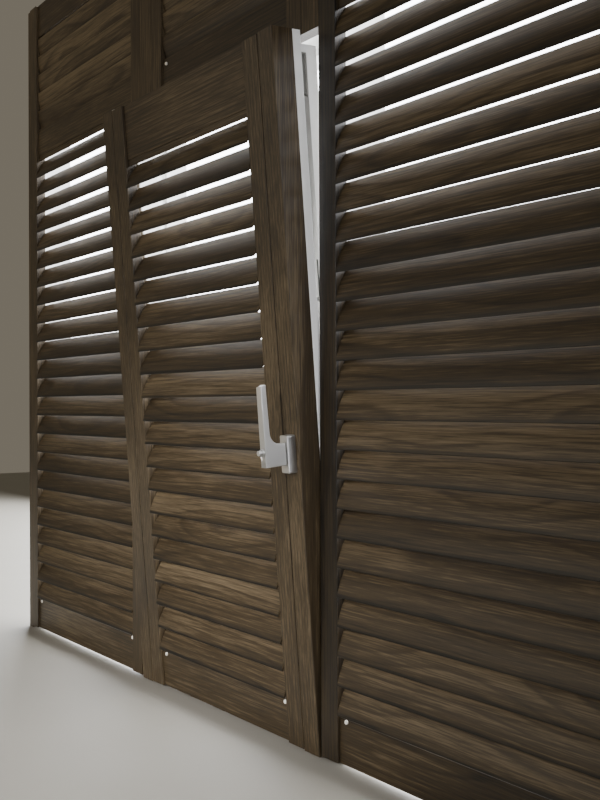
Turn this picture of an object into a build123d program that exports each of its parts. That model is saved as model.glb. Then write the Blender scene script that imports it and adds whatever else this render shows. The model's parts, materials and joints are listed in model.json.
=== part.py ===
from build123d import *
import math
import os

# Louvred shutters for a wide window: a fixed panel on each side, a fixed upper panel in the middle,
# and under it a shutter unit on a sash that tilts into the room about its bottom edge.
# Millimetres. +X is to the right seen from the room, +Y goes from the room to the window, +Z is up.
# The origin is the middle of the sill bar's underside.

# Bays and heights
mid_opening = 722.0          # clear width between the two fixed panels
fixed_louvre_w = 616.0       # slat length of a fixed panel
stile_w = 50.0               # upright of every panel, seen from the front
side_board_w = 24.0          # outer board of the frame
total_h = 1882.0
floor_gap = 8.0              # air under every panel
unit_h = 1376.0              # tilting unit

# Panel timber
stile_t = 27.0
rail_recess = 6.0            # a rail's face lies this far behind the stile's face, front and back
arris_r = 1.0                # rounded long edges of the uprights
bottom_rail_h = 95.0
mid_rail_low = 1413.0        # lower edge of a fixed panel's middle rail
mid_rail_h = 94.5
top_rail_h = 109.5
unit_top_rail_h = 142.0
upper_bottom_rail_h = 110.0
upper_top_rail_h = 113.0
lower_tongue_h = 15.0        # rebate along a rail's lower edge, one tongue left to stop the light
upper_tongue_h = 10.0        # rebate along a rail's upper edge
tongue_recess = 2.0          # a front tongue lies this far behind the rail's face
tongue_gap = 2.0             # from the slats' axis plane to a tongue

# Slats
slat_w = 67.0
slat_t = 10.0
slat_tip_t = 2.0
slat_spacing_min = 54.0      # a louvre holds as many slats as fit at this spacing
slat_to_rail = 24.0          # from a slat's axis to the rail's tongue
left_slat_angle = 28.0       # leaning back at the top, counted from upright
right_slat_angle = 24.0
upper_slat_angle = -12.0     # above the middle rails and over the tilting unit, tops to the room
tilt_slat_angle = 31.0
slat_closed_angle = 6.0
slat_open_angle = 150.0
slat_end_gap = 1.5
slat_pin_r = 3.0
slat_pin_in = 13.0           # how far a plain pin reaches into its stile
pin_clearance = 0.05
bore_extra = 1.0

# Hidden tilt bar in the free stile
crank_r = 6.0
crank_pin_r = 1.5
crank_arm_w = 5.0
crank_arm_t = 2.5
bar_w = 7.0
bar_t = 3.0
bar_hole_clearance = 0.3
bar_gap = 0.7
groove_depth = 12.0
groove_w = 20.0
groove_end = 12.0

# Bumpers on the rails' faces, just under the lowest slats
bumper_r = 4.2
bumper_h = 3.2
bumper_left_in = 20.0        # from the left upright to a bumper's middle
bumper_right_in = 9.0
bumper_drop = 0.4            # below the edge of the rail's face
bumper_chamfer = 0.8

# Tilting unit
unit_side_gap = 6.0
strip_w = 48.0
strip_depth = 48.0
panel_gap = 2.0
upper_gap = 10.0             # from the tilting unit's top to the upper panel
upper_strip_w = 54.0
tilt_angle = 4.4             # opening at the stay's end, as stored

# Sash
flange_t = 19.0
flange_w = 71.0
sash_body_t = 49.0
sash_overlap = 18.0          # the flange stands out past the sash body
sash_gap = 1.5
glass_rebate_w = 15.0
glass_rebate_t = 18.0
sash_round_r = 3.0
flange_round_r = 2.0
lock_strip_w = 16.0
lock_strip_t = 3.0
lock_strip_proud = 0.6
lock_strip_setback = 8.0
lock_strip_end = 34.0
lock_cam_r = 4.0
lock_cam_h = 5.0
lock_cam_places = (0.08, 0.36, 0.64, 0.94)
lock_slot_below = 6.0        # a slot starts this far below its cam's middle
lock_slot_len = 82.0
lock_slot_w = 9.0
lock_slide_t = 1.2

# Fixed window parts round the middle bay
nib_w = 12.0                 # stop that the sash closes on
nib_depth = 56.0
nib_cover = 6.0              # the flange covers this much of the stop
cross_bar_h = 50.0
head_board_h = 24.0
side_board_recess = 4.0
side_board_depth = 23.0
jamb_w = 36.0                # fixed window upright behind a side board

# Bottom hinges of the sash
hinge_axis_up = 9.0          # above the sash's lower edge
hinge_axis_in = 11.5         # behind the flange's front face
bracket_w = 24.0
bracket_from_edge = 10.0
bracket_r = 7.0
bracket_low = 3.0
bracket_side_gap = 1.0
bracket_clearance = 1.0
tilt_pin_r = 3.0
tilt_pin_reach = 8.0

# Stay arm
stay_len = 360.0
stay_w = 16.0
stay_t = 3.0
stay_under_bar = 3.0
stay_pivot_x = -300.0
stay_pivot_r = 3.0
stay_pivot_up = 10.0
stay_pin_r = 2.5
stay_pin_len = 13.0
stay_slot_clearance = 1.4
stay_slot_deep = 10.0
stay_slot_end = 2.0

# Hidden pivots of the inner panel, at the foot and head of its left upright
pivot_inset = 5.5            # axis behind the panel's front face and inside its edge
pivot_pin_r = 1.75
pivot_pin_len = 14.0
pivot_bush_r = 3.0
pivot_bush_len = 18.0
pivot_plate_t = 1.5
pivot_plate_w = 15.0
pivot_plate_on_strip = 34.0
pivot_plate_end = 5.0        # past the axis, under the panel
pivot_plate_setback = 1.0
panel_end_gap = 2.0          # above and below the swinging panel

# Handle
handle_up = 580.0            # above the unit's lower edge
rosette_w = 25.5
rosette_h = 72.0
rosette_t = 18.0
rosette_round_r = 3.0
rosette_edge_r = 2.0
neck_gap = 1.5
neck_len = 47.5
neck_below = 20.0
neck_above = 22.0
grip_w = 17.0
grip_t = 14.0
grip_tip_t = 11.5
grip_top = 134.0
grip_slant = 4.0
grip_inner_r = 22.0
grip_edge_r = 1.8
spindle_w = 7.0
spindle_in_sash = 12.0
spindle_bore_r = 7.0
sash_bore_r = 5.3
lock_up = 8.0
lock_r = 7.0
lock_out = 3.5
lock_in = 10.0
lock_wall = 1.9
lock_fit = 0.05
button_out = 7.0
button_edge_r = 1.0
button_travel = 4.0

# Fixing holes in the outer window uprights
fixing_r = 3.3
fixing_low = 250.0
fixing_high = 1600.0
fixing_back = 18.0           # from the frame's back
fixing_sink_r = 6.5

pick_near = 1.0              # a corner is picked when it lies this near to its place

# Planes worked out from the sizes above
half_mid = mid_opening / 2
half_total = half_mid + 2 * stile_w + fixed_louvre_w + side_board_w
x_jamb = half_total - jamb_w
y_back = nib_depth / 2
y_nib = -nib_depth / 2
y_flange_back = y_nib - sash_gap
y_flange = y_flange_back - flange_t
y_front = y_flange - strip_depth
y_axis = y_front + stile_t / 2
y_stile_back = y_front + stile_t
y_board_back = y_front + side_board_recess + side_board_depth
rail_t = stile_t - 2 * rail_recess
louvre_low = floor_gap + bottom_rail_h
half_unit = half_mid - unit_side_gap
half_panel = half_unit - strip_w - panel_gap
half_louvre = half_panel - stile_w
unit_top = floor_gap + unit_h
unit_louvre_top = unit_top - unit_top_rail_h
upper_bottom = unit_top + upper_gap
half_sash_in = half_unit - flange_w
half_sash_body = half_unit - sash_overlap
y_hinge = y_flange + hinge_axis_in
z_hinge = floor_gap + hinge_axis_up
x_handle = half_unit - strip_w / 2
z_handle = floor_gap + handle_up
z_stay = upper_bottom - stay_under_bar - stay_t
y_stay = y_flange + flange_t / 2
crank_turn = 180.0 - (slat_closed_angle + slat_open_angle) / 2


def block(x0, x1, y0, y1, z0, z1):
    """Straight block between two corners."""
    size = Box(abs(x1 - x0), abs(y1 - y0), abs(z1 - z0))
    return Pos((x0 + x1) / 2, (y0 + y1) / 2, (z0 + z1) / 2) * size


def rod_x(x0, x1, y, z, radius):
    """Round bar along X."""
    return Pos((x0 + x1) / 2, y, z) * Rot(0, 90, 0) * Cylinder(radius, abs(x1 - x0))


def rod_y(x, y0, y1, z, radius):
    """Round bar along Y."""
    return Pos(x, (y0 + y1) / 2, z) * Rot(90, 0, 0) * Cylinder(radius, abs(y1 - y0))


def rod_z(x, y, z0, z1, radius):
    """Round bar along Z."""
    return Pos(x, y, (z0 + z1) / 2) * Cylinder(radius, abs(z1 - z0))


def upright(x0, x1, y0, y1, z0, z1, radius=arris_r):
    """Post with its four long edges rounded."""
    outline = RectangleRounded(abs(x1 - x0), abs(y1 - y0), radius)
    return Pos((x0 + x1) / 2, (y0 + y1) / 2, z0) * extrude(outline, z1 - z0)


def rail(x0, x1, z0, z1, below=None, above=None):
    """Cross rail. The tongue below or above lies in front of the slats, or at their back."""
    y0 = y_front + rail_recess
    y1 = y_stile_back - rail_recess
    depths = {"front": (y0 + tongue_recess, y_axis - tongue_gap), "back": (y_axis + tongue_gap, y1)}
    low = z0 + lower_tongue_h if below else z0
    high = z1 - upper_tongue_h if above else z1
    shape = block(x0, x1, y0, y1, low, high)
    if below:
        shape += block(x0, x1, *depths[below], z0, low)
    if above:
        shape += block(x0, x1, *depths[above], high, z1)
    return shape


def slat_outline():
    """Lens of two shallow arcs with rounded tips, its chord upright in the sketch."""
    half_w = slat_w / 2
    half_t = slat_t / 2
    tip_t = slat_tip_t / 2
    tip_z = half_w - tip_t
    front = ThreePointArc((-tip_t, -tip_z), (-half_t, 0), (-tip_t, tip_z))
    top = ThreePointArc((-tip_t, tip_z), (0, half_w), (tip_t, tip_z))
    back = ThreePointArc((tip_t, tip_z), (half_t, 0), (tip_t, -tip_z))
    bottom = ThreePointArc((tip_t, -tip_z), (0, -half_w), (-tip_t, -tip_z))
    return make_face(front + top + back + bottom)


def slat_body(x0, x1):
    """Upright slat along X with its axis on the X axis."""
    return Plane.YZ.offset(x0) * extrude(slat_outline(), x1 - x0)


def placed_slat(shape, z, angle):
    """Slat turned so that its top leans back, on its own axis height."""
    return Pos(0, y_axis, z) * Rot(-angle, 0, 0) * shape


def slat_heights(low, high):
    """Axis heights of the slats that share the louvre between two rails evenly."""
    span = high - low - 2 * slat_to_rail
    steps = int(span // slat_spacing_min)
    return [low + slat_to_rail + span * i / max(steps, 1) for i in range(steps + 1)]


def tilting_slat(z):
    """Slat with a plain pin on the hinge side, and a long pin with a crank on the free side."""
    x_end = half_louvre - slat_end_gap
    x_groove = half_panel - groove_depth
    x_arm = x_groove + bar_gap
    x_crank = x_arm + crank_arm_t + bar_gap + bar_t + bar_gap
    shape = slat_body(-x_end, x_end)
    shape += rod_x(-half_louvre - slat_pin_in, -x_end, 0, 0, slat_pin_r)
    shape += rod_x(x_end, x_arm + crank_arm_t, 0, 0, slat_pin_r)
    reach = crank_r + crank_arm_w / 2
    arm = block(x_arm, x_arm + crank_arm_t, -crank_arm_w / 2, crank_arm_w / 2, 0, reach)
    arm += rod_x(x_arm, x_crank, 0, crank_r, crank_pin_r)
    shape += Rot(-crank_turn, 0, 0) * arm
    return placed_slat(shape, z, tilt_slat_angle)


def crank_offset():
    """Where a crank pin lies from its slat's axis in the stored pose, as (y, z)."""
    turn = math.radians(crank_turn + tilt_slat_angle)
    return crank_r * math.sin(turn), crank_r * math.cos(turn)


def tilt_bar():
    """Flat bar with one hole for each crank pin."""
    dy, dz = crank_offset()
    x0 = half_panel - groove_depth + bar_gap + crank_arm_t + bar_gap
    rows = slat_heights(louvre_low, unit_louvre_top)
    low = rows[0] + dz - bar_w
    high = rows[-1] + dz + bar_w
    y_mid = y_axis + dy
    shape = block(x0, x0 + bar_t, y_mid - bar_w / 2, y_mid + bar_w / 2, low, high)
    for z in rows:
        shape -= rod_x(x0, x0 + bar_t, y_mid, z + dz, crank_pin_r + bar_hole_clearance)
    return shape


def panel_stiles():
    """Uprights of the swinging panel: pivot side, and free side with the groove for the tilt bar."""
    foot = floor_gap + panel_end_gap
    head = unit_top - panel_end_gap
    hinge_side = upright(-half_panel, -half_louvre, y_front, y_stile_back, foot, head)
    free_side = upright(half_louvre, half_panel, y_front, y_stile_back, foot, head)
    x, y = pivot_axis()
    hinge_side -= rod_z(x, y, foot, foot + pivot_bush_len, pivot_bush_r)
    hinge_side -= rod_z(x, y, head - pivot_bush_len, head, pivot_bush_r)
    x_groove = half_panel - groove_depth
    rows = slat_heights(louvre_low, unit_louvre_top)
    low = rows[0] - crank_r - groove_end
    high = rows[-1] + groove_end
    free_side -= block(x_groove, half_panel, y_axis - groove_w / 2, y_axis + groove_w / 2, low, high)
    bore_r = slat_pin_r + pin_clearance
    blind = half_louvre + slat_pin_in + bore_extra
    for z in rows:
        hinge_side -= rod_x(-blind, -half_louvre, y_axis, z, bore_r)
        free_side -= rod_x(half_louvre, x_groove, y_axis, z, bore_r)
    return hinge_side, free_side


def bumpers(x0, x1, z_top):
    """Round buttons at both ends of a rail from x0 to x1, under its tongue, whose top is z_top."""
    shapes = []
    y_face = y_front + rail_recess
    z = z_top - upper_tongue_h - bumper_drop - bumper_r
    for x in (x0 + bumper_left_in, x1 - bumper_right_in):
        button = rod_y(x, y_face - bumper_h, y_face, z, bumper_r)
        front_edge = button.edges().group_by(Axis.Y)[0]
        shapes.append(chamfer(front_edge, bumper_chamfer))
    return shapes


def fixed_panel(side):
    """Stiles, rails and slats of one fixed panel. side is -1 on the left and 1 on the right."""
    x_in = half_mid + stile_w
    x_out = x_in + fixed_louvre_w
    mid_high = mid_rail_low + mid_rail_h
    top_low = total_h - top_rail_h
    stiles = []
    for x in (half_mid, x_out):
        ends = (side * x, side * (x + stile_w))
        stiles.append(upright(min(ends), max(ends), y_front, y_stile_back, floor_gap, total_h))
    x0 = min(side * x_in, side * x_out)
    x1 = max(side * x_in, side * x_out)
    rails = [rail(x0, x1, floor_gap, louvre_low, above="back"),
             rail(x0, x1, mid_rail_low, mid_high, below="front", above="front"),
             rail(x0, x1, top_low, total_h, below="back")]
    blade = slat_body(x0, x1)
    rows = slat_heights(louvre_low, mid_rail_low)
    angle = right_slat_angle if side > 0 else left_slat_angle
    slats = [placed_slat(blade, z, angle) for z in rows]
    rows = slat_heights(mid_high, top_low)
    slats += [placed_slat(blade, z, upper_slat_angle) for z in rows]
    buttons = bumpers(x0, x1, louvre_low)
    return stiles, rails, slats, buttons


def upper_panel():
    """Fixed panel above the tilting unit, with a wide strip on each side."""
    x_strip = half_mid - upper_strip_w
    x_louvre = x_strip - stile_w
    bottom_high = upper_bottom + upper_bottom_rail_h
    top_low = total_h - upper_top_rail_h
    strips = []
    stiles = []
    for side in (-1, 1):
        outer = sorted((side * x_strip, side * half_mid))
        inner = sorted((side * x_louvre, side * x_strip))
        strips.append(upright(outer[0], outer[1], y_front, y_stile_back, upper_bottom, total_h))
        stiles.append(upright(inner[0], inner[1], y_front, y_stile_back, upper_bottom, total_h))
    rails = [rail(-x_louvre, x_louvre, upper_bottom, bottom_high, above="front"),
             rail(-x_louvre, x_louvre, top_low, total_h, below="back")]
    blade = slat_body(-x_louvre, x_louvre)
    rows = slat_heights(bottom_high, top_low)
    slats = [placed_slat(blade, z, upper_slat_angle) for z in rows]
    buttons = bumpers(-x_louvre, x_louvre, bottom_high)
    return strips, stiles, rails, slats, buttons


def side_board(side):
    """Outer board that closes the row beside a fixed panel."""
    y0 = y_front + side_board_recess
    board = upright(half_total - side_board_w, half_total, y0, y_board_back, 0, total_h)
    return board if side > 0 else mirror(board, Plane.YZ)


def jamb(side):
    """Outer window upright with two countersunk fixing holes."""
    body = block(x_jamb, half_total, y_board_back, y_back, 0, total_h - head_board_h)
    for z in (fixing_low, fixing_high):
        y = y_back - fixing_back
        body -= rod_x(x_jamb, half_total, y, z, fixing_r)
        sink = Cone(fixing_sink_r, fixing_r, fixing_sink_r - fixing_r)
        body -= Pos(x_jamb + (fixing_sink_r - fixing_r) / 2, y, z) * Rot(0, 90, 0) * sink
    return body if side > 0 else mirror(body, Plane.YZ)


def post(side):
    """Fixed window upright: a square part behind the stile and a stop for the sash."""
    z1 = total_h - head_board_h
    body = block(half_mid, half_mid + stile_w, y_stile_back, y_back, 0, z1)
    body += block(half_mid - nib_w, half_mid, y_nib, y_back, 0, z1)
    return body if side > 0 else mirror(body, Plane.YZ)


def cross_bar():
    """Fixed window bar above the sash, with its stop and the bore for the stay."""
    x1 = half_mid - nib_w
    z0 = upper_bottom
    bar = block(-half_mid, half_mid, y_stile_back, y_nib, z0, z0 + cross_bar_h)
    bar += block(-x1, x1, y_nib, y_back, unit_top - nib_cover, z0 + cross_bar_h)
    bar -= rod_z(stay_pivot_x, y_stay, z0, z0 + stay_pivot_up, stay_pivot_r + pin_clearance)
    return bar


def sash_section():
    """Section of a sash member: x from the opening's edge outwards, y from front to back."""
    y_body = y_flange_back + sash_body_t
    y_glass = y_body - glass_rebate_t
    body_w = flange_w - sash_overlap
    points = [(0, y_flange), (flange_w, y_flange), (flange_w, y_flange_back), (body_w, y_flange_back),
              (body_w, y_body), (glass_rebate_w, y_body), (glass_rebate_w, y_glass), (0, y_glass)]
    face = make_face(Polyline(*points, close=True))
    inner = [v for v in face.vertices() if v.X < pick_near and v.Y < y_flange + pick_near]
    face = fillet(inner, sash_round_r)
    outer = [v for v in face.vertices() if v.X > flange_w - pick_near]
    return fillet(outer, flange_round_r)


def sash_stile(side):
    """Sash upright with the notch and bore for its bottom hinge."""
    stile = Pos(half_sash_in, 0, floor_gap) * extrude(sash_section(), unit_top - floor_gap)
    for z0 in (floor_gap, unit_top - sash_overlap):
        stile -= block(half_sash_in, half_unit, y_flange_back, y_flange_back + sash_body_t,
                       z0, z0 + sash_overlap)
    x1 = half_unit - bracket_from_edge + bracket_side_gap
    x0 = half_unit - bracket_from_edge - bracket_w - bracket_side_gap
    notch_top = z_hinge + bracket_r + bracket_clearance
    stile -= block(x0, x1, y_flange, y_flange_back, floor_gap, notch_top)
    stile -= rod_x(x0 - tilt_pin_reach, x1 + tilt_pin_reach, y_hinge, z_hinge, tilt_pin_r + pin_clearance)
    if side > 0:
        y0 = y_flange_back + lock_strip_setback
        low = floor_gap + lock_strip_end
        high = unit_top - lock_strip_end
        stile -= block(half_sash_body - lock_strip_t, half_sash_body, y0, y0 + lock_strip_w, low, high)
        stile -= rod_y(x_handle, y_flange, y_flange + spindle_in_sash + bore_extra, z_handle, sash_bore_r)
        return stile
    return mirror(stile, Plane.YZ)


def sash_rail(at_top):
    """Sash cross member between the uprights."""
    length = 2 * half_sash_in
    section = sash_section()
    along = Plane(origin=(-half_sash_in, 0, 0), x_dir=(0, 0, -1), z_dir=(1, 0, 0))
    member = along * extrude(section, length)
    if not at_top:
        return Pos(0, 0, floor_gap + flange_w) * member
    member = Pos(0, 0, unit_top - flange_w) * mirror(member, Plane.XY)
    x1 = stay_pivot_x + stay_len + stay_pin_r + stay_slot_end
    x0 = stay_pivot_x + stay_len * math.cos(stay_rest_turn()) - stay_pin_r - stay_slot_end
    half_slot = stay_pin_r + stay_slot_clearance
    slot = block(x0, x1, y_stay - half_slot, y_stay + half_slot, unit_top - stay_slot_deep, unit_top)
    return member - slot


def lock_strip():
    """Metal strip let into the sash's edge, with its locking cams."""
    y0 = y_flange_back + lock_strip_setback
    x0 = half_sash_body - lock_strip_t
    x1 = half_sash_body + lock_strip_proud
    low = floor_gap + lock_strip_end
    high = unit_top - lock_strip_end
    strip = block(x0, x1, y0, y0 + lock_strip_w, low, high)
    y_mid = y0 + lock_strip_w / 2
    for place in lock_cam_places:
        z = low + place * (high - low)
        slot = block(x0 + lock_slide_t, x1, y_mid - lock_slot_w / 2, y_mid + lock_slot_w / 2,
                     z - lock_slot_below, z - lock_slot_below + lock_slot_len)
        strip -= slot
        strip += rod_x(x0, x1 + lock_cam_h, y_mid, z, lock_cam_r)
    return strip


def stay_rest_turn():
    """How far the stay arm is turned out when the sash is fully tilted, in radians."""
    tilt = math.radians(tilt_angle)
    rise = unit_top - stay_slot_deep / 2 - z_hinge
    setback = y_stay - y_hinge
    travel = setback - (setback * math.cos(tilt) - rise * math.sin(tilt))
    return math.asin(travel / stay_len)


def stay_arm():
    """Flat arm, its pivot stub up into the cross bar and its sliding pin down into the sash."""
    bar = SlotCenterToCenter(stay_len, stay_w)
    arm = Pos(stay_len / 2, 0, 0) * extrude(bar, stay_t)
    arm += rod_z(0, 0, stay_t, stay_t + stay_under_bar + stay_pivot_up - bore_extra, stay_pivot_r)
    arm += rod_z(stay_len, 0, -stay_pin_len, 0, stay_pin_r)
    return Pos(stay_pivot_x, y_stay, z_stay) * Rot(0, 0, -math.degrees(stay_rest_turn())) * arm


def bracket(side):
    """Fixed hinge bracket on the sill bar, with the pin that carries the sash's corner."""
    x1 = half_unit - bracket_from_edge
    x0 = x1 - bracket_w
    body = block(x0, x1, y_hinge, y_nib, bracket_low, nib_cover + floor_gap)
    body += rod_x(x0, x1, y_hinge, z_hinge, bracket_r)
    body += rod_x(x0 - tilt_pin_reach, x1 + tilt_pin_reach, y_hinge, z_hinge, tilt_pin_r)
    return body if side > 0 else mirror(body, Plane.YZ)


def pivot_axis():
    """Where the swinging panel's axis lies, as (x, y)."""
    return -half_panel + pivot_inset, y_front + pivot_inset


def pivot_plate_space(z0, thickness):
    """Room of a pivot plate from the strip's end to under the panel."""
    x, y = pivot_axis()
    y0 = y_front + pivot_plate_setback
    x0 = -half_panel - panel_gap - pivot_plate_on_strip
    return block(x0, x + pivot_plate_end, y0, y0 + pivot_plate_w, z0, z0 + thickness)


def pivot_plates():
    """Lower and upper plate, each with its riveted pin, let flush into the strip's ends."""
    x, y = pivot_axis()
    low_top = floor_gap + pivot_plate_t
    high_under = unit_top - pivot_plate_t
    lower = pivot_plate_space(floor_gap, pivot_plate_t)
    lower += rod_z(x, y, low_top, low_top + pivot_pin_len, pivot_pin_r)
    upper = pivot_plate_space(high_under, pivot_plate_t)
    upper += rod_z(x, y, high_under - pivot_pin_len, high_under, pivot_pin_r)
    return [lower, upper]


def pivot_bushes():
    """Bushes in the panel's upright, closed at the inner end."""
    x, y = pivot_axis()
    low = floor_gap + panel_end_gap
    high = unit_top - panel_end_gap
    bore_r = pivot_pin_r + pin_clearance
    lower = rod_z(x, y, low, low + pivot_bush_len, pivot_bush_r)
    lower -= rod_z(x, y, low, low + pivot_pin_len + bore_extra, bore_r)
    upper = rod_z(x, y, high - pivot_bush_len, high, pivot_bush_r)
    upper -= rod_z(x, y, high - pivot_pin_len - bore_extra, high, bore_r)
    return [lower, upper]


def side_strip(side):
    """Deep strip between the sash and the panel. The right one has the bore for the spindle."""
    strip = upright(half_unit - strip_w, half_unit, y_front, y_flange, floor_gap, unit_top)
    if side > 0:
        return strip - rod_y(x_handle, y_front, y_flange, z_handle, spindle_bore_r)
    strip = mirror(strip, Plane.YZ)
    strip -= pivot_plate_space(floor_gap, pivot_plate_t)
    return strip - pivot_plate_space(unit_top - pivot_plate_t, pivot_plate_t)


def rosette():
    """Flat plate under the handle."""
    plate = extrude(RectangleRounded(rosette_w, rosette_h, rosette_round_r), rosette_t)
    plate = fillet(plate.edges().group_by(Axis.Z)[-1], rosette_edge_r)
    plate -= Cylinder(spindle_bore_r, 2 * rosette_t)
    return Pos(x_handle, y_front, z_handle) * Rot(90, 0, 0) * plate


def handle_side_view():
    """Outline of the handle seen from the side: first number outwards, second number up."""
    out0 = rosette_t + neck_gap
    out1 = out0 + neck_len
    top_back = (out1 - grip_tip_t, grip_top)
    points = [(out0, -neck_below), (out1, -neck_below), (out1, grip_top - grip_slant), top_back,
              (out1 - grip_t, neck_above), (out0, neck_above)]
    face = make_face(Polyline(*points, close=True))
    inner = [v for v in face.vertices()
             if abs(v.X - (out1 - grip_t)) < pick_near and abs(v.Y - neck_above) < pick_near]
    return fillet(inner, grip_inner_r)


def handle_grip():
    """Neck and grip in one casting, with the square spindle behind it and the lock's bore."""
    body = extrude(handle_side_view(), grip_w / 2, both=True)
    body = fillet(body.edges().filter_by(Plane.XY), grip_edge_r)
    upright_plane = Plane(origin=(x_handle, y_front, z_handle), x_dir=(0, -1, 0), z_dir=(-1, 0, 0))
    grip = upright_plane * body
    y_out = y_front - rosette_t - neck_gap - neck_len
    grip -= rod_y(x_handle, y_out, y_out + lock_in, z_handle + lock_up, lock_r + lock_fit)
    half = spindle_w / 2
    y_neck = y_front - rosette_t - neck_gap
    grip += block(x_handle - half, x_handle + half, y_neck, y_flange + spindle_in_sash,
                  z_handle - half, z_handle + half)
    return grip


def lock_cylinder():
    """Ring of the lock in the front of the handle."""
    y_out = y_front - rosette_t - neck_gap - neck_len
    z = z_handle + lock_up
    ring = rod_y(x_handle, y_out - lock_out, y_out + lock_in, z, lock_r)
    return ring - rod_y(x_handle, y_out - lock_out, y_out + lock_in, z, lock_r - lock_wall + lock_fit)


def lock_button():
    """Round button that is pressed to lock the handle."""
    y_out = y_front - rosette_t - neck_gap - neck_len - lock_out
    y_in = y_out + lock_out + lock_in - button_travel - bore_extra
    button = rod_y(x_handle, y_out - button_out, y_in, z_handle + lock_up, lock_r - lock_wall)
    return fillet(button.edges().group_by(Axis.Y)[0], button_edge_r)


def tilted(shape):
    """Shape of the tilting unit, turned from closed to its stored pose."""
    return Pos(0, y_hinge, z_hinge) * Rot(tilt_angle, 0, 0) * Pos(0, -y_hinge, -z_hinge) * shape


def save(name, shapes, tilt=False):
    """Write one node, one or more solids, as a STEP file."""
    shapes = shapes if isinstance(shapes, (list, tuple)) else [shapes]
    solids = [solid for shape in shapes for solid in (tilted(shape) if tilt else shape).solids()]
    whole = solids[0] if len(solids) == 1 else Compound(children=solids)
    export_step(whole, f"parts/{name}.step")


def fixed_nodes():
    """Everything that stays with the wall."""
    buttons = []
    for side, name in ((-1, "left"), (1, "right")):
        stiles, rails, slats, pair = fixed_panel(side)
        save(f"{name}_panel_stiles", stiles)
        save(f"{name}_panel_rails", rails)
        save(f"{name}_panel_slats", slats)
        save(f"side_board_{name}", side_board(side))
        buttons += pair
    strips, stiles, rails, slats, pair = upper_panel()
    save("upper_panel_strips", strips)
    save("upper_panel_stiles", stiles)
    save("upper_panel_rails", rails)
    save("upper_panel_slats", slats)
    save("fixed_panel_bumpers", buttons + pair)
    z_board = total_h - head_board_h
    save("head_board", block(-half_total, half_total, y_board_back, y_back, z_board, total_h))
    save("window_posts", [post(-1), post(1)])
    save("window_jambs", [jamb(-1), jamb(1)])
    save("window_cross_bar", cross_bar())
    x_sill = half_mid - nib_w
    save("window_sill_bar", block(-x_sill, x_sill, y_nib, y_back, 0, floor_gap + nib_cover))
    save("tilt_hinge_brackets", [bracket(-1), bracket(1)])
    save("stay_arm", stay_arm())


def tilting_nodes():
    """Sash, strips, swinging panel, slats and handle."""
    save("sash_stile_left", sash_stile(-1), True)
    save("sash_stile_right", sash_stile(1), True)
    save("sash_top_rail", sash_rail(True), True)
    save("sash_bottom_rail", sash_rail(False), True)
    save("sash_lock_strip", lock_strip(), True)
    save("side_strip_left", side_strip(-1), True)
    save("side_strip_right", side_strip(1), True)
    hinge_side, free_side = panel_stiles()
    save("swing_panel_stile_left", hinge_side, True)
    save("swing_panel_stile_right", free_side, True)
    foot = floor_gap + panel_end_gap
    bottom = rail(-half_louvre, half_louvre, foot, louvre_low, above="back")
    save("swing_panel_bottom_rail", bottom, True)
    head = unit_top - panel_end_gap
    top = rail(-half_louvre, half_louvre, unit_louvre_top, head, below="front")
    save("swing_panel_top_rail", top, True)
    save("swing_panel_bumpers", bumpers(-half_louvre, half_louvre, louvre_low), True)
    save("panel_pivot_plates", pivot_plates(), True)
    save("panel_pivot_bushes", pivot_bushes(), True)
    save("tilt_bar", tilt_bar(), True)
    for number, z in enumerate(slat_heights(louvre_low, unit_louvre_top), 1):
        save(f"slat_{number:02d}", tilting_slat(z), True)
    save("handle_rosette", rosette(), True)
    save("handle_grip", handle_grip(), True)
    save("lock_cylinder", lock_cylinder(), True)
    save("lock_button", lock_button(), True)


os.makedirs("parts", exist_ok=True)
fixed_nodes()
tilting_nodes()
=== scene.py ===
# %% [markdown]
# # Louvred shutters with a tilt-open middle unit
#
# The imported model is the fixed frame: every piece already has its place and its body.
# This script dresses it. The slats are remade as fine surfaces with numpy, because their long
# soft reflections need smooth normals and a grain that follows each blade. Everything is in
# metres, X to the right seen from the front, Y towards the back and Z up.

# %% Load the frame
import json
import math

import bpy
import numpy as np
from mathutils import Matrix, Vector


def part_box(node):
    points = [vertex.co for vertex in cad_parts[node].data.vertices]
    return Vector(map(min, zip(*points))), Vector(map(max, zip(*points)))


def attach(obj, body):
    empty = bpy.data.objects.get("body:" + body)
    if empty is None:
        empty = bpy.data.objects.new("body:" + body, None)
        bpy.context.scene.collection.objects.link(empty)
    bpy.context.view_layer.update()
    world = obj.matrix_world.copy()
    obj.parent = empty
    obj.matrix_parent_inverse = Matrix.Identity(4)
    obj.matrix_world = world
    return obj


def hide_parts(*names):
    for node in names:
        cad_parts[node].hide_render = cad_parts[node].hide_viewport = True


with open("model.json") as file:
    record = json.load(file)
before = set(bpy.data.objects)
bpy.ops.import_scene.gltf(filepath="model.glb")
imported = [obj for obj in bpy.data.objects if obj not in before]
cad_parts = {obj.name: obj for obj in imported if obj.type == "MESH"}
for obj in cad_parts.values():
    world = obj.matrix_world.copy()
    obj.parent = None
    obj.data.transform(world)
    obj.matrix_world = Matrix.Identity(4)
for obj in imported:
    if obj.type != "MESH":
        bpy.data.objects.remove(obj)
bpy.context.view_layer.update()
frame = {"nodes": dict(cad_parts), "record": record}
MM = 0.001

# %% [markdown]
# ## Camera
#
# The picture was taken from the right, close to the shutters and a little below their middle,
# with the camera held upright. A camera is described here by where it stands, how far it is
# turned from looking along -X, its pitch and roll, and its focal length in pixels of the 600 by
# 800 frame. The rotation matrix is built from three directions: right, up and backwards.

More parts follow.
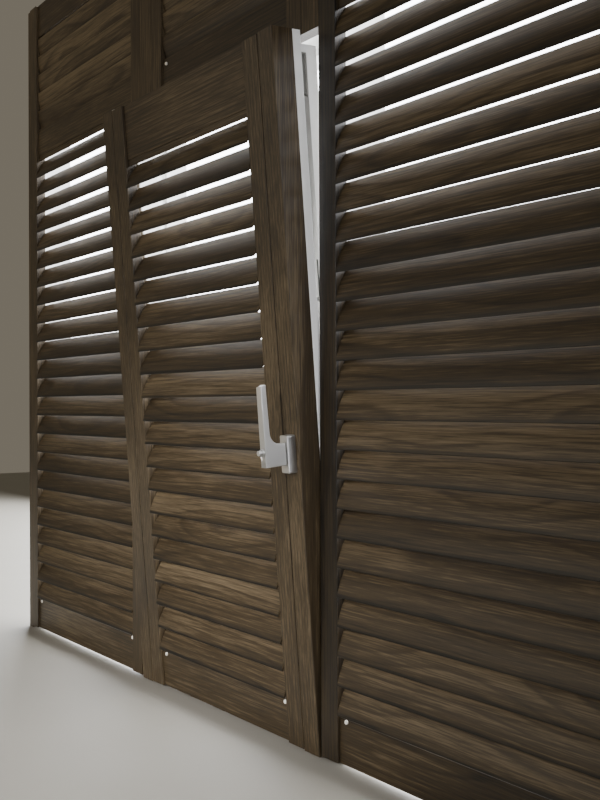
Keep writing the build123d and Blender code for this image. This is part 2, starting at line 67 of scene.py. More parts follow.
# %% Camera at the picture's viewing angle
CAMERA_PLACE = np.array([1.8621, -1.2606, 0.6734])
CAMERA_YAW = math.radians(36.6625)
CAMERA_PITCH = math.radians(0.2931)
CAMERA_ROLL = math.radians(-0.245)
FOCAL_PIXELS = 1000.0
IMAGE_LONG_SIDE = 800.0
SENSOR = 36.0                 # millimetres, along the picture's long side
NEAREST_SEEN = 10 * MM


def camera_axes(yaw, pitch, roll):
    """Right, up and forward: forward is (-cos yaw, sin yaw, 0) tipped by pitch, turned by roll."""
    level = np.array([-math.cos(yaw), math.sin(yaw), 0.0])
    right = np.array([math.sin(yaw), math.cos(yaw), 0.0])
    up = np.array([0.0, 0.0, 1.0])
    forward = level * math.cos(pitch) + up * math.sin(pitch)
    up = up * math.cos(pitch) - level * math.sin(pitch)
    return (right * math.cos(roll) + up * math.sin(roll),
            up * math.cos(roll) - right * math.sin(roll), forward)


camera_data = bpy.data.cameras.new("camera")
camera_data.sensor_width = SENSOR
camera_data.lens = FOCAL_PIXELS * SENSOR / IMAGE_LONG_SIDE
camera_data.clip_start = NEAREST_SEEN
camera = bpy.data.objects.new("camera", camera_data)
bpy.context.scene.collection.objects.link(camera)
right, up, forward = camera_axes(CAMERA_YAW, CAMERA_PITCH, CAMERA_ROLL)
turn = Matrix((right, up, -forward)).transposed()
camera.matrix_world = Matrix.Translation(Vector(CAMERA_PLACE)) @ turn.to_4x4()
bpy.context.scene.camera = camera
print("lens", round(camera_data.lens, 2), "mm")

# %% [markdown]
# ## Helpers for materials
#
# Three small helpers serve every material. One turns an sRGB hex colour, as a picker shows it,
# into the linear values that the shaders work with. One adds a node, sets its inputs and links
# them, so that each material below reads as a short recipe. The last starts a material.

# %% Colours and nodes


def hex_colour(code):
    """Linear RGBA of an sRGB hex: c/12.92 under 0.04045, else ((c + 0.055)/1.055) to the 2.4."""
    values = []
    for i in (1, 3, 5):
        c = int(code[i:i + 2], 16) / 255
        values.append(c / 12.92 if c <= 0.04045 else ((c + 0.055) / 1.055) ** 2.4)
    return (*values, 1.0)


def add_node(tree, kind, settings=None, values=None, links=None):
    """Adds a node, sets its properties and input values, and links inputs from other sockets."""
    node = tree.nodes.new(kind)
    for name, value in (settings or {}).items():
        setattr(node, name, value)
    for name, value in (values or {}).items():
        node.inputs[name].default_value = value
    for name, socket in (links or {}).items():
        tree.links.new(socket, node.inputs[name])
    return node


def new_material(name):
    """An empty material and its tree with an output and a Principled shader."""
    material = bpy.data.materials.new(name)
    material.use_nodes = True
    tree = material.node_tree
    return material, tree, tree.nodes["Principled BSDF"]


print("a mid grey in linear values:", round(hex_colour("#808080")[0], 3))

# %% [markdown]
# ## Where the wood's pattern comes from
#
# A tree's growth rings are nested tubes. A board cut from it shows them as lines, and where the
# cut runs flat through a slightly crooked trunk, as long arches. So the pattern needs three
# coordinates for each board: along the grain, across its face, and into the wood. A slat brings
# them in its UV map, whose whole metres across number the slats. A thick board takes them from
# its place in the object. In both, the trunk's middle lies somewhere different for each board.
#
# Each board also has a tone of its own. On a slat, painted shade and light change it with height: a
# painted dark line of shade runs along the lower edge, and painted light makes the face lighter
# towards the upper edge.

# %% Tone of a slat, with painted shade and light
BOARD_START = 50 * MM         # the fraction of V where a slat's outline starts, at its lower edge
SLAT_ROUND = 137.6 * MM       # once round a slat's outline
# painted shade along each slat's lower edge, and painted light towards its upper edge
PAINTED_LINE_FULL, PAINTED_LINE_GONE = 1 * MM, 7 * MM      # the dark line is full up to one, gone at the other
PAINTED_LINE_TONE, FACE_TONE = -1.15, -0.25
PAINTED_LIGHT = 0.9                  # how much lighter the upper edge is
TONE_SPREAD = 0.6             # how much the boards differ


def slat_tone_and_painted_shade(tree, across, chance):
    """Tone is chance times its spread, plus the painted light times the share of the height, plus
    the painted shade line's or the face's own tone. Height is the way round the outline, folded at
    its middle."""
    way = add_node(tree, "ShaderNodeMath", {"operation": "SUBTRACT"}, {1: BOARD_START}, {0: across})
    height = add_node(tree, "ShaderNodeMath", {"operation": "PINGPONG"}, {1: SLAT_ROUND / 2},
                      {0: way.outputs[0]})
    # painted shade: a dark line along the slat's lower edge
    edge = add_node(tree, "ShaderNodeMapRange", {"interpolation_type": "SMOOTHSTEP"},
                    {"From Min": PAINTED_LINE_FULL, "From Max": PAINTED_LINE_GONE, "To Min": PAINTED_LINE_TONE,
                     "To Max": FACE_TONE}, {"Value": height.outputs[0]})
    # painted light: the face grows lighter towards the upper edge
    painted_light_rise = add_node(tree, "ShaderNodeMath", {"operation": "MULTIPLY_ADD"},
                      {1: PAINTED_LIGHT / (SLAT_ROUND / 2)},
                      {0: height.outputs[0], 2: edge.outputs["Result"]})
    tone = add_node(tree, "ShaderNodeMath", {"operation": "MULTIPLY_ADD"}, {1: TONE_SPREAD},
                    {0: chance, 2: painted_light_rise.outputs[0]})
    return tone.outputs[0]


print("tone of a slat's face:", FACE_TONE, "to", round(FACE_TONE + PAINTED_LIGHT + TONE_SPREAD, 2))

# %% Grain of a slat
CUT_ASIDE = 220 * MM          # how far from the trunk's middle a slat may be cut, sideways
CUT_NEAR, CUT_SPREAD = 20 * MM, 120 * MM    # and into the wood
TRUNK_STEP = 9.0              # metres along the trunk from one slat to the next


def slat_grain(tree):
    """Along is U plus a step for each board. Across is the fraction of V, moved aside by chance.
    Depth is chance as well. V's whole part numbers the board, and so picks the chances."""
    uv = add_node(tree, "ShaderNodeUVMap", {"uv_map": "grain"})
    parts = add_node(tree, "ShaderNodeSeparateXYZ", links={0: uv.outputs[0]})
    board = add_node(tree, "ShaderNodeMath", {"operation": "FLOOR"}, links={0: parts.outputs["Y"]})
    across = add_node(tree, "ShaderNodeMath", {"operation": "FRACT"},
                      links={0: parts.outputs["Y"]})
    chance = add_node(tree, "ShaderNodeTexWhiteNoise", {"noise_dimensions": "1D"},
                      links={"W": board.outputs[0]})
    pick = add_node(tree, "ShaderNodeSeparateColor", links={0: chance.outputs["Color"]})
    aside = add_node(tree, "ShaderNodeMath", {"operation": "MULTIPLY_ADD"}, {1: -CUT_ASIDE},
                     {0: pick.outputs["Red"], 2: across.outputs[0]})
    depth = add_node(tree, "ShaderNodeMath", {"operation": "MULTIPLY_ADD"},
                     {1: CUT_SPREAD, 2: CUT_NEAR}, {0: pick.outputs["Green"]})
    along = add_node(tree, "ShaderNodeMath", {"operation": "MULTIPLY_ADD"}, {1: TRUNK_STEP},
                     {0: board.outputs[0], 2: parts.outputs["X"]})
    tone = slat_tone_and_painted_shade(tree, across.outputs[0], pick.outputs["Blue"])
    return along.outputs[0], aside.outputs[0], depth.outputs[0], tone


print("a slat is cut up to", round((CUT_NEAR + CUT_SPREAD) / MM), "mm deep in the trunk")

# %% Grain of a thick board
TRUNK_ASIDE = 120 * MM        # the trunk's middle lies at most this far to either side
TRUNK_NEAR, TRUNK_FAR = 50 * MM, 160 * MM
TONE_SCALE = 3.0              # a board's tone changes about this often in a metre


def board_grain(along, seed):
    """Object coordinates sorted as along, across and depth, with a trunk middle of the board's
    own, and a slow noise as the tone."""
    across = "X" if along == "Z" else "Z"
    aside, inward = np.random.default_rng(seed).uniform((-TRUNK_ASIDE, TRUNK_NEAR),
                                                        (TRUNK_ASIDE, TRUNK_FAR))

    def coordinates(tree):
        place = add_node(tree, "ShaderNodeTexCoord").outputs["Object"]
        moved = [0.0, float(inward), 0.0]
        moved["XYZ".index(across)] = float(aside)
        mapped = add_node(tree, "ShaderNodeMapping", values={"Location": moved},
                          links={"Vector": place})
        parts = add_node(tree, "ShaderNodeSeparateXYZ", links={0: mapped.outputs[0]})
        tone = add_node(tree, "ShaderNodeTexNoise", values={"Scale": TONE_SCALE, "Detail": 0.0},
                        links={"Vector": mapped.outputs[0]})
        return parts.outputs[along], parts.outputs[across], parts.outputs["Y"], tone.outputs["Fac"]

    return coordinates


print("a board's trunk middle lies", TRUNK_NEAR, "to", TRUNK_FAR, "m behind its origin")

# %% [markdown]
# ## Stained and varnished wood
#
# The shutters are a light, fine-pored wood stained walnut brown under a satin varnish. Five
# things make up what the eye sees, from large to small: the board's own tone, clouds where the
# stain took more or less, growth rings that fade from light to dark and start again with an
# edge, streaks, and short fibres and pores. They are added up to one shade, and a ramp of three
# stain colours turns it into brown. The varnish is thin and satin, so it needs no layer of its
# own: the wood's shader gets a middling roughness and a weak reflection, which leave a soft
# shine along every rounded edge and only a trace of the fibres.

# %% Growth rings
RING_SPACING = 9 * MM
TRUNK_BEND = 30 * MM          # how far the rings wander along a board
BEND_SCALE = 1.8              # and how often in a metre
RING_SHADES = {0.0: 0.2, 1.0: 0.1, 0.15: 0.75, 0.75: 0.55}      # both ends first


def growth_rings(tree, place, across, depth):
    """Shade by the fraction of distance to the trunk's middle divided by the ring spacing. A slow
    noise moves the depth in that distance, as a crooked trunk does."""
    bend = add_node(tree, "ShaderNodeTexNoise", values={"Scale": BEND_SCALE, "Detail": 1.0},
                    links={"Vector": place})
    bent = add_node(tree, "ShaderNodeMath", {"operation": "MULTIPLY_ADD"}, {1: 2 * TRUNK_BEND},
                    {0: bend.outputs["Fac"], 2: depth})
    cut = add_node(tree, "ShaderNodeCombineXYZ", links={0: across, 1: bent.outputs[0]})
    radius = add_node(tree, "ShaderNodeVectorMath", {"operation": "LENGTH"},
                      links={0: cut.outputs[0]})
    count = add_node(tree, "ShaderNodeMath", {"operation": "DIVIDE"}, {1: RING_SPACING},
                     {0: radius.outputs["Value"]})
    ring = add_node(tree, "ShaderNodeMath", {"operation": "FRACT"}, links={0: count.outputs[0]})
    rings = add_node(tree, "ShaderNodeValToRGB", links={"Fac": ring.outputs[0]})
    stops = rings.color_ramp.elements
    for i, (position, shade) in enumerate(RING_SHADES.items()):
        stop = stops[i] if i < 2 else stops.new(position)
        stop.position, stop.color = position, (shade, shade, shade, 1.0)
    return rings.outputs["Color"]


print("rings in 100 mm:", round(100 * MM / RING_SPACING, 1))

# %% Clouds, streaks and fibres
CLOUD_SIZE, CLOUD_STRETCH = 70 * MM, 0.35
STREAK_WIDTH = 5 * MM
FIBRE_WIDTH = 1.3 * MM        # coarser than the real fibres, so that they show
FIBRE_STRETCH = 0.028         # width of a fibre divided by its length


def drawn_patches(tree, place, width, stretch, detail, roughness=0.5):
    """Noise of half a cycle in each width, read with its length along the grain times stretch."""
    drawn = add_node(tree, "ShaderNodeMapping", values={"Scale": (stretch, 1.0, 1.0)},
                     links={"Vector": place})
    patches = add_node(tree, "ShaderNodeTexNoise", values={
        "Scale": 0.5 / width, "Detail": detail, "Roughness": roughness},
        links={"Vector": drawn.outputs[0]})
    return patches.outputs["Fac"]


print("fibres are about", round(FIBRE_WIDTH / FIBRE_STRETCH / MM), "mm long")

# %% Stained wood
STAIN = {0.15: "#110e09", 0.85: "#6a5c45", 0.5: "#382d1c"}      # both ends first
TONE_WEIGHT, RING_WEIGHT, CLOUD_WEIGHT = 0.3, 0.26, 0.3
STREAK_WEIGHT, FIBRE_WEIGHT = 0.3, 0.9
FIBRE_RELIEF = 0.05 * MM
SLAT_LIGHTER = 0.04           # the slats are a little lighter than the frame


def stained_wood(name, coordinates, lighter=0.0):
    """Shade is a half, plus lighter, plus the sum of weight times (part minus a half)."""
    material, tree, shader = new_material(name)
    along, across, depth, tone = coordinates(tree)
    place = add_node(tree, "ShaderNodeCombineXYZ", links={0: along, 1: across, 2: depth}).outputs[0]
    fibre = drawn_patches(tree, place, FIBRE_WIDTH, FIBRE_STRETCH, 3.0, 0.7)
    parts = ((growth_rings(tree, place, across, depth), RING_WEIGHT),
             (drawn_patches(tree, place, CLOUD_SIZE, CLOUD_STRETCH, 2.0), CLOUD_WEIGHT),
             (drawn_patches(tree, place, STREAK_WIDTH, FIBRE_STRETCH, 2.0), STREAK_WEIGHT),
             (fibre, FIBRE_WEIGHT))
    start = 0.5 + lighter - (TONE_WEIGHT + sum(weight for _, weight in parts)) / 2
    shade = add_node(tree, "ShaderNodeMath", {"operation": "MULTIPLY_ADD"},
                     {1: TONE_WEIGHT, 2: start}, {0: tone}).outputs[0]
    for part, weight in parts:
        shade = add_node(tree, "ShaderNodeMath", {"operation": "MULTIPLY_ADD"}, {1: weight},
                         {0: part, 2: shade}).outputs[0]
    colour = add_node(tree, "ShaderNodeValToRGB", links={"Fac": shade})
    stops = colour.color_ramp.elements
    for i, (position, code) in enumerate(STAIN.items()):
        stop = stops[i] if i < 2 else stops.new(position)
        stop.position, stop.color = position, hex_colour(code)
    relief = add_node(tree, "ShaderNodeBump", values={"Strength": 0.1, "Distance": FIBRE_RELIEF},
                      links={"Height": fibre})
    tree.links.new(colour.outputs["Color"], shader.inputs["Base Color"])
    tree.links.new(relief.outputs["Normal"], shader.inputs["Normal"])
    shader.inputs["Roughness"].default_value = 0.45
    shader.inputs["Specular IOR Level"].default_value = 0.35
    shader.inputs["IOR"].default_value = 1.5
    return material


SLAT_WOOD = stained_wood("walnut_stained_slats", slat_grain, SLAT_LIGHTER)
print("made", SLAT_WOOD.name, "with", len(SLAT_WOOD.node_tree.nodes), "nodes")

# %% [markdown]
# ## White plastic, nylon and metals
#
# The window members are white extruded PVC, smooth, with a faint unevenness in their gloss.
# The bumpers are moulded nylon, duller and a little yellow. The lock strip and hinges are zinc
# plated steel, whose spangle varies the roughness from patch to patch, and the hidden bar is
# plain extruded aluminium. The handle is cast zinc with a satin nickel finish, which spreads
# its highlight evenly. Each recipe below has one base colour, one roughness and its spread
# either way, and one size of unevenness in millimetres.

# %% White plastic, nylon and metals
UNEVEN_STRENGTH = 0.3


def uneven_finish(name, colour, rough, spread, size, metallic=0.0, bump=0.0):
    """Noise of the given size moves the roughness by spread either way, and lifts the surface."""
    material, tree, shader = new_material(name)
    place = add_node(tree, "ShaderNodeTexCoord").outputs["Object"]
    patches = add_node(tree, "ShaderNodeTexNoise", values={"Scale": 1.0 / size, "Detail": 3.0},
                       links={"Vector": place})
    gloss = add_node(tree, "ShaderNodeMath", {"operation": "MULTIPLY_ADD"},
                     {1: 2 * spread, 2: rough - spread}, {0: patches.outputs["Fac"]})
    relief = add_node(tree, "ShaderNodeBump",
                      values={"Strength": UNEVEN_STRENGTH, "Distance": bump},
                      links={"Height": patches.outputs["Fac"]})
    tree.links.new(gloss.outputs[0], shader.inputs["Roughness"])
    tree.links.new(relief.outputs["Normal"], shader.inputs["Normal"])
    shader.inputs["Base Color"].default_value = hex_colour(colour)
    shader.inputs["Metallic"].default_value = metallic
    return material


WHITE_PVC = uneven_finish("extruded_white_pvc", "#f1f1ef", 0.32, 0.05, 30 * MM, bump=0.05 * MM)
WHITE_NYLON = uneven_finish("moulded_white_nylon", "#ece7dc", 0.45, 0.05, 4 * MM, bump=0.02 * MM)
ZINC = uneven_finish("zinc_plated_steel", "#a7a6a2", 0.38, 0.1, 6 * MM, metallic=1.0,
                     bump=0.01 * MM)
ALUMINIUM = uneven_finish("extruded_aluminium", "#c4c6c8", 0.4, 0.06, 5 * MM, metallic=1.0)
NICKEL = uneven_finish("satin_nickel_on_zinc", "#c6c6c4", 0.5, 0.06, 3 * MM, metallic=1.0)
print("finishes:", len(bpy.data.materials))

# %% [markdown]
# ## Slats as lens-shaped blades
#
# A slat is a board planed to a lens section, so that it throws off light softly and closes
# tightly on its neighbours. Its outline is four circular arcs: two broad faces, and a small
# round at each edge. As a profile it is the same all along the slat, so the blade needs no more
# than that outline, many points round and two ends.

# %% Outline of a slat
SLAT_WIDTH = 67 * MM
SLAT_THICKNESS = 10 * MM
SLAT_TIP = 2 * MM
ARC_POINTS = 14
TIP_POINTS = 5


def arc_through(start, middle, end, count):
    """Points on the circle through three points, from start towards end, end left out. The
    centre is as far from each of them: two linear equations, solved with determinants."""
    (ax, ay), (bx, by), (cx, cy) = start, middle, end
    a2, b2, c2 = ax**2 + ay**2, bx**2 + by**2, cx**2 + cy**2
    divisor = 2 * (ax * (by - cy) + bx * (cy - ay) + cx * (ay - by))
    x = (a2 * (by - cy) + b2 * (cy - ay) + c2 * (ay - by)) / divisor
    y = (a2 * (cx - bx) + b2 * (ax - cx) + c2 * (bx - ax)) / divisor
    turns = np.unwrap([math.atan2(py - y, px - x) for px, py in (start, middle, end)])
    angles = np.linspace(turns[0], turns[2], count, endpoint=False)
    radius = math.hypot(ax - x, ay - y)
    return np.stack([x + radius * np.cos(angles), y + radius * np.sin(angles)], axis=1)


def lens_outline():
    """Front arc up, tip round the top, back arc down, tip round the bottom, as (y, z)."""
    tip = SLAT_TIP / 2
    high = SLAT_WIDTH / 2 - tip
    front = arc_through((-tip, -high), (-SLAT_THICKNESS / 2, 0), (-tip, high), ARC_POINTS)
    top = arc_through((-tip, high), (0, SLAT_WIDTH / 2), (tip, high), TIP_POINTS)
    return np.concatenate([front, top, -front, -top])


def way_round(outline):
    """Length of the outline up to each of its points, and once round as the last one."""
    lengths = np.linalg.norm(np.roll(outline, -1, axis=0) - outline, axis=1)
    return np.concatenate([[0.0], np.cumsum(lengths)])


print("once round a slat:", round(way_round(lens_outline())[-1] / MM, 1), "mm")

# %% [markdown]
# ## From outlines to pieces
#
# Blades, pins and crank arms are all straight along X, so one function carries their outlines.
# It takes any number of outlines with as many points each, so that a whole panel's slats are
# one array and one mesh. A second function turns points and faces into a piece.

# %% Outlines carried along X


def carry(outlines, x0, x1, first=0):
    """Each closed outline of (y, z) points stands at x0 and again at x1. A quad joins each point
    and the next one to the same two at the other end, and the outline closes both ends. Points
    are numbered from first: by outline, then by end, then round."""
    number, count = outlines.shape[:2]
    points = np.empty((number, 2, count, 3))
    points[..., 0] = np.array([x0, x1])[:, None]
    points[..., 1:] = outlines[:, None]
    ring = np.arange(count)
    after = np.roll(ring, -1)
    quad = np.stack([ring, after, after + count, ring + count], axis=1)
    starts = first + 2 * count * np.arange(number)[:, None]
    quads = (quad + starts[:, None]).reshape(-1, 4)
    near_ends, far_ends = ring[::-1] + starts, ring + count + starts
    return points.reshape(-1, 3), quads.tolist() + near_ends.tolist() + far_ends.tolist()


points, faces = carry(lens_outline()[None], 0.0, 1.0)
print("one blade:", len(points), "points,", len(faces), "faces")

# %% A piece from points and faces


def new_piece(name, points, faces, material, crease):
    """A mesh at the origin, shaded smooth but for edges that turn by more than crease degrees."""
    mesh = bpy.data.meshes.new(name)
    mesh.from_pydata(points, [], faces)
    mesh.materials.append(material)
    mesh.shade_smooth()
    mesh.set_sharp_from_angle(angle=math.radians(crease))
    piece = bpy.data.objects.new(name, mesh)
    bpy.context.scene.collection.objects.link(piece)
    return piece


BLADE_CREASE, PIN_CREASE, FLAT = 50, 40, 180
print("creases over", BLADE_CREASE, "degrees on a blade, over", PIN_CREASE, "on a pin")

# %% Blades with their grain


def add_grain_map(mesh, points, outline, first_board):
    """U is x. V is the board's number plus the board's start plus the way round the outline. A
    quad's second and third corners are one point on, up to once round at the seam."""
    count = len(outline)
    corner = np.zeros(len(mesh.loops), dtype=np.int32)
    mesh.loops.foreach_get("vertex_index", corner)
    quads = len(points) // 2
    step = corner % count
    step[:4 * quads] = np.add.outer(np.arange(quads) % count, [0, 1, 1, 0]).ravel()
    board = first_board + corner // (2 * count)
    uv = np.stack([points[corner, 0], way_round(outline)[step] + BOARD_START + board], axis=1)
    layer = mesh.uv_layers.new(name="grain")
    layer.data.foreach_set("uv", uv.astype(np.float32).ravel())


def blades(name, x0, x1, places, lean, first_board):
    """Each blade's outline is its (y, z) place plus the lens, turned back by lean: y is
    y cos + z sin, and z is z cos - y sin."""
    outline = lens_outline()
    c, s = math.cos(lean), math.sin(lean)
    turned = outline @ np.array([[c, -s], [s, c]])
    points, faces = carry(np.asarray(places)[:, None] + turned, x0, x1)
    piece = new_piece(name, points, faces, SLAT_WOOD, BLADE_CREASE)
    add_grain_map(piece.data, points, outline, first_board)
    print(name, len(places), "blades,", len(faces), "faces")
    return piece


# %% [markdown]
# ## Fixed slats
#
# On the two side panels and the panel over the tilting unit, the slats were left at one angle.
# They share the height between two rails evenly, as many as fit at the maker's least spacing.
# Their ends and the panels' height are read from the frame's own pieces, and the rails' heights
# are the panels' named sizes.

# %% Places of the fixed slats
SPACING_MIN = 54 * MM
SLAT_TO_RAIL = 24 * MM
TIMBER = 27 * MM
RAIL_LOW = 103 * MM           # upper edge of the bottom rail
RAIL_MID, RAIL_MID_HEIGHT = 1413 * MM, 94.5 * MM
RAIL_TOP = 109.5 * MM
UPPER_RAIL_TOP, UPPER_RAIL_HEIGHT = 113 * MM, 110 * MM


def slat_places(low, high, axis_y):
    """Axis places as (y, z): as many as fit between two rails at the least spacing, evenly."""
    span = high - low - 2 * SLAT_TO_RAIL
    count = int(span // SPACING_MIN) + 1
    heights = low + SLAT_TO_RAIL + np.linspace(0.0, span, count)
    return np.stack([np.full_like(heights, axis_y), heights], axis=1)


total_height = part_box("left_panel_stiles")[1][2]
axis_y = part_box("left_panel_stiles")[0][1] + TIMBER / 2
side_lower = slat_places(RAIL_LOW, RAIL_MID, axis_y)
side_upper = slat_places(RAIL_MID + RAIL_MID_HEIGHT, total_height - RAIL_TOP, axis_y)
print("side panels:", len(side_lower), "slats below and", len(side_upper), "above")

# %% Slats of the fixed panels
LEFT_LEAN, RIGHT_LEAN, UPPER_LEAN = math.radians(28), math.radians(24), math.radians(-12)
board_count = 0
for side, lean in (("left", LEFT_LEAN), ("right", RIGHT_LEAN)):
    low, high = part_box(f"{side}_panel_slats")
    piece = blades(f"{side}_slat_blades", low[0], high[0], side_lower, lean, board_count)
    board_count += len(side_lower)
    above = blades(f"{side}_upper_slat_blades", low[0], high[0], side_upper, UPPER_LEAN,
                   board_count)
    board_count += len(side_upper)
    for made in (piece, above):
        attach(made, "frame")
        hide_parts(f"{side}_panel_slats")
low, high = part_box("upper_panel_slats")
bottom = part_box("upper_panel_rails")[0][2] + UPPER_RAIL_HEIGHT
middle = slat_places(bottom, total_height - UPPER_RAIL_TOP, axis_y)
piece = blades("upper_panel_slat_blades", low[0], high[0], middle, UPPER_LEAN, board_count)
board_count += len(middle)
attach(piece, "frame")
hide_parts("upper_panel_slats")

# %% [markdown]
# ## Slats of the tilting unit
#
# These turn on pins in the uprights, and each has a small crank inside the free upright that
# the hidden tilt bar drives. Each slat is a piece of its own, on the body of its joint. The
# joint's own place in the record gives the axis, so no place is typed twice.

# %% Outlines of pins and arms
PIN_SIDES = 24


def circle(centre, radius):
    """Points at (y + radius cos t, z + radius sin t)."""
    t = np.linspace(0, 2 * math.pi, PIN_SIDES, endpoint=False)
    return centre + radius * np.stack([np.cos(t), np.sin(t)], axis=1)


def bar(start, end, width):
    """Rectangle round the line from start to end, half its width to each side."""
    line = (end - start) / np.linalg.norm(end - start)
    aside = np.array([-line[1], line[0]]) * width / 2
    return np.array([start - aside, end - aside, end + aside, start + aside])


print("a pin is drawn with", len(circle(np.zeros(2), 3 * MM)), "sides")

# %% Pins and cranks
TILT = math.radians(4.4)      # the unit leans this far out
SLAT_LEAN = math.radians(31)
CLOSED, OPEN = 6, 150         # a slat's limits in degrees
LOUVRE_HALF = 255 * MM
END_GAP = 1.5 * MM
PIN_RADIUS, PIN_IN = 3 * MM, 13 * MM
ARM_FROM, ARM_THICK, ARM_WIDTH = 293.7 * MM, 2.5 * MM, 5 * MM
CRANK_RADIUS, CRANK_PIN, CRANK_END = 6 * MM, 1.5 * MM, 300.6 * MM
CRANK_TURN = math.radians(180 - (CLOSED + OPEN) / 2)


def slat_hardware(name, axis):
    """Plain pin on the left. On the right a long pin, the crank's arm at its end, and the crank's
    pin, which lies one crank radius from the axis at the crank's turn."""
    turn = CRANK_TURN + SLAT_LEAN - TILT
    reach = np.array([math.sin(turn), math.cos(turn)])
    arm_end = axis + reach * (CRANK_RADIUS + ARM_WIDTH / 2)
    blade_end = LOUVRE_HALF - END_GAP
    points, faces = np.empty((0, 3)), []
    for outline, x0, x1 in (
            (circle(axis, PIN_RADIUS), -LOUVRE_HALF - PIN_IN, -blade_end),
            (circle(axis, PIN_RADIUS), blade_end, ARM_FROM + ARM_THICK),
            (bar(axis, arm_end, ARM_WIDTH), ARM_FROM, ARM_FROM + ARM_THICK),
            (circle(axis + reach * CRANK_RADIUS, CRANK_PIN), ARM_FROM, CRANK_END)):
        more_points, more_faces = carry(outline[None], x0, x1, len(points))
        points = np.concatenate([points, more_points])
        faces += more_faces
    return new_piece(name, points, faces, ZINC, PIN_CREASE)


print("crank pins reach", round((CRANK_END - LOUVRE_HALF) / MM, 1), "mm into the upright")

# %% Slats that turn
axes = {joint["child"]: np.array(joint["pos_m"][1:])
        for joint in frame["record"]["behaviour"]["joints"]}
turning = sorted(node for node in frame["nodes"] if node.startswith("slat_"))
for name in turning:
    blade = blades(f"{name}_blade", -LOUVRE_HALF + END_GAP, LOUVRE_HALF - END_GAP, [axes[name]],
                   SLAT_LEAN - TILT, board_count)
    board_count += 1
    pins = slat_hardware(f"{name}_pins", axes[name])
    for made in (blade, pins):
        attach(made, name)
        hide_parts(name)
print("boards in all:", board_count)

# %% [markdown]
# ## Boards, window members and hardware from the frame
#
# Uprights and rails are straight boards, and the frame's own meshes already have their exact edges,
# so they stay and get wood whose grain runs along each board. A few boards are made darker than the
# rest. Round metal and nylon parts come as loose triangles: two modifiers join them, shade them
# smooth, and weight the normals by face area so that flats stay flat.

# %% Modifier that joins and smooths
MERGE_WITHIN = 0.002 * MM
smooth = bpy.data.node_groups.new("shade_smooth", "GeometryNodeTree")
smooth.interface.new_socket("Geometry", in_out="INPUT", socket_type="NodeSocketGeometry")
smooth.interface.new_socket("Geometry", in_out="OUTPUT", socket_type="NodeSocketGeometry")
entry = add_node(smooth, "NodeGroupInput")
joined = add_node(smooth, "GeometryNodeMergeByDistance", values={"Distance": MERGE_WITHIN},
                  links={"Geometry": entry.outputs[0]})
shaded = add_node(smooth, "GeometryNodeSetShadeSmooth", links={"Geometry": joined.outputs[0]})
add_node(smooth, "NodeGroupOutput", links={0: shaded.outputs[0]})
print("made", smooth.name, "with", len(smooth.nodes), "nodes")

# %% Finishes for the frame's pieces
UPRIGHT_WORDS = ("stile", "strip", "side_board")
BOARD_LIGHTER = {"right_panel_stiles": -0.25, "right_panel_rails": -0.12,
                 "upper_panel_rails": -0.1}      # less than 0 is darker
ROUND_FINISHES = ("satin_nickel", "nylon")
finishes = {"white_window": WHITE_PVC, "nylon": WHITE_NYLON, "zinc_steel": ZINC,
            "bar_aluminium": ALUMINIUM, "satin_nickel": NICKEL}
slots = {part["node"]: part["material_slot"] for part in frame["record"]["subparts"]}

for seed, (name, node) in enumerate(sorted(frame["nodes"].items())):
    finish = finishes.get(slots[name])
    if finish is None and not name.startswith("slat_") and not name.endswith("_slats"):
        along = "Z" if any(word in name for word in UPRIGHT_WORDS) else "X"
        finish = stained_wood(f"walnut_stained_{name}", board_grain(along, seed),
                              BOARD_LIGHTER.get(name, 0.0))
    node.data.materials.clear()
    node.data.materials.append(finish or SLAT_WOOD)
    if slots[name] in ROUND_FINISHES:
        modifier = node.modifiers.new("shade_smooth", "NODES")
        modifier.node_group = smooth
        weighted = node.modifiers.new("weighted_normals", "WEIGHTED_NORMAL")
        weighted.keep_sharp = True
print("materials:", len(bpy.data.materials))

# %% [markdown]
# ## Studio
#
# A pale floor, a bright sheet behind the shutters as daylight, and soft light in front. None of
# it belongs to the object. The daylight is far brighter than the front light, so that every gap
# between slats shines white, and light that bounces between two slats brightens the upper part
# of each. The sheet shines to one side only and is clear from behind, so that the back of the
# model can be seen as well.

# %% Floor and daylight
FLOOR_HALF = 8.0
DAYLIGHT_HALF, DAYLIGHT_Y, DAYLIGHT_LOW, DAYLIGHT_HIGH = 5.0, 1.6, 0.3, 4.0
DAYLIGHT_STRENGTH = 12.5


def flat_sheet(name, corners, material):
    """One quad through four corners."""
    sheet = new_piece(name, corners, [(0, 1, 2, 3)], material, FLAT)
    return sheet


FLOOR = uneven_finish("studio_floor", "#949085", 0.6, 0.05, 200 * MM)
flat_sheet("floor", [(-FLOOR_HALF, -FLOOR_HALF, 0), (FLOOR_HALF, -FLOOR_HALF, 0),
                     (FLOOR_HALF, FLOOR_HALF, 0), (-FLOOR_HALF, FLOOR_HALF, 0)], FLOOR)
daylight, tree, shader = new_material("daylight_sheet")
shader.inputs["Base Color"].default_value = hex_colour("#ffffff")
shader.inputs["Emission Color"].default_value = hex_colour("#f8faff")
shader.inputs["Emission Strength"].default_value = DAYLIGHT_STRENGTH
side = add_node(tree, "ShaderNodeNewGeometry")
clear = add_node(tree, "ShaderNodeBsdfTransparent")
one_sided = add_node(tree, "ShaderNodeMixShader", links={
    0: side.outputs["Backfacing"], 1: shader.outputs[0], 2: clear.outputs[0]})
tree.links.new(one_sided.outputs[0], tree.nodes["Material Output"].inputs["Surface"])
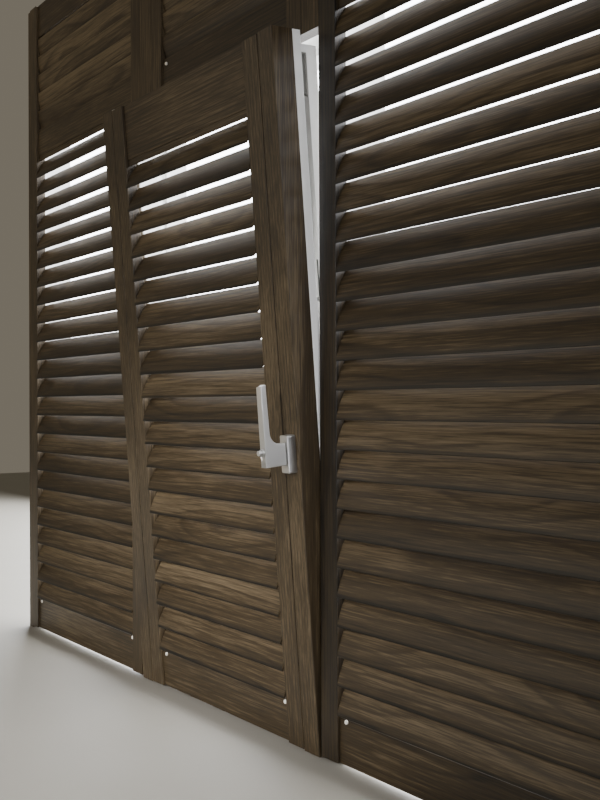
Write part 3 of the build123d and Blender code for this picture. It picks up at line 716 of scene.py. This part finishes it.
flat_sheet("daylight", [(-DAYLIGHT_HALF, DAYLIGHT_Y, DAYLIGHT_LOW),
                        (DAYLIGHT_HALF, DAYLIGHT_Y, DAYLIGHT_LOW),
                        (DAYLIGHT_HALF, DAYLIGHT_Y, DAYLIGHT_HIGH),
                        (-DAYLIGHT_HALF, DAYLIGHT_Y, DAYLIGHT_HIGH)], daylight)
print("daylight sheet:", 2 * DAYLIGHT_HALF, "by", round(DAYLIGHT_HIGH - DAYLIGHT_LOW, 1), "m")

# %% [markdown]
# ## Front light
#
# A weak warm fill comes from everywhere. Three soft lamps add to it: a broad warm one from the
# left, a narrow one on the foot of the middle unit, and a cool one from the right that picks
# out the deep side of the tilting unit and the handle. All three hang low, because a high lamp
# would throw each slat's shadow on the next.

# %% Fill and lamps
FILL_STRENGTH = 0.2
world = bpy.data.worlds.new("studio")
bpy.context.scene.world = world
world.use_nodes = True
world.node_tree.nodes["Background"].inputs["Color"].default_value = hex_colour("#f0e4cc")
world.node_tree.nodes["Background"].inputs["Strength"].default_value = FILL_STRENGTH


def soft_light(name, place, target, size, power, colour, spread=180):
    """Square lamp of size metres and power watts that faces its target, spread degrees wide."""
    data = bpy.data.lights.new(name, "AREA")
    data.size = size
    data.energy = power
    data.color = hex_colour(colour)[:3]
    data.spread = math.radians(spread)
    lamp = bpy.data.objects.new(name, data)
    lamp.location = place
    lamp.rotation_euler = (Vector(target) - Vector(place)).to_track_quat("-Z", "Y").to_euler()
    bpy.context.scene.collection.objects.link(lamp)
    return lamp


soft_light("front_light", place=(-1.6, -3.4, 1.5), target=(0.1, -0.1, 0.6), size=1.6,
           power=29.0, colour="#fff1dc")
soft_light("low_light", place=(1.0, -2.4, 1.1), target=(-0.1, -0.1, 0.15), size=0.8,
           power=5.5, colour="#f6f7ff", spread=36)
soft_light("side_light", place=(3.2, -0.9, 1.3), target=(0.3, -0.2, 0.9), size=1.2,
           power=34.0, colour="#f2f5ff")
print("lamps:", len(bpy.data.lights))
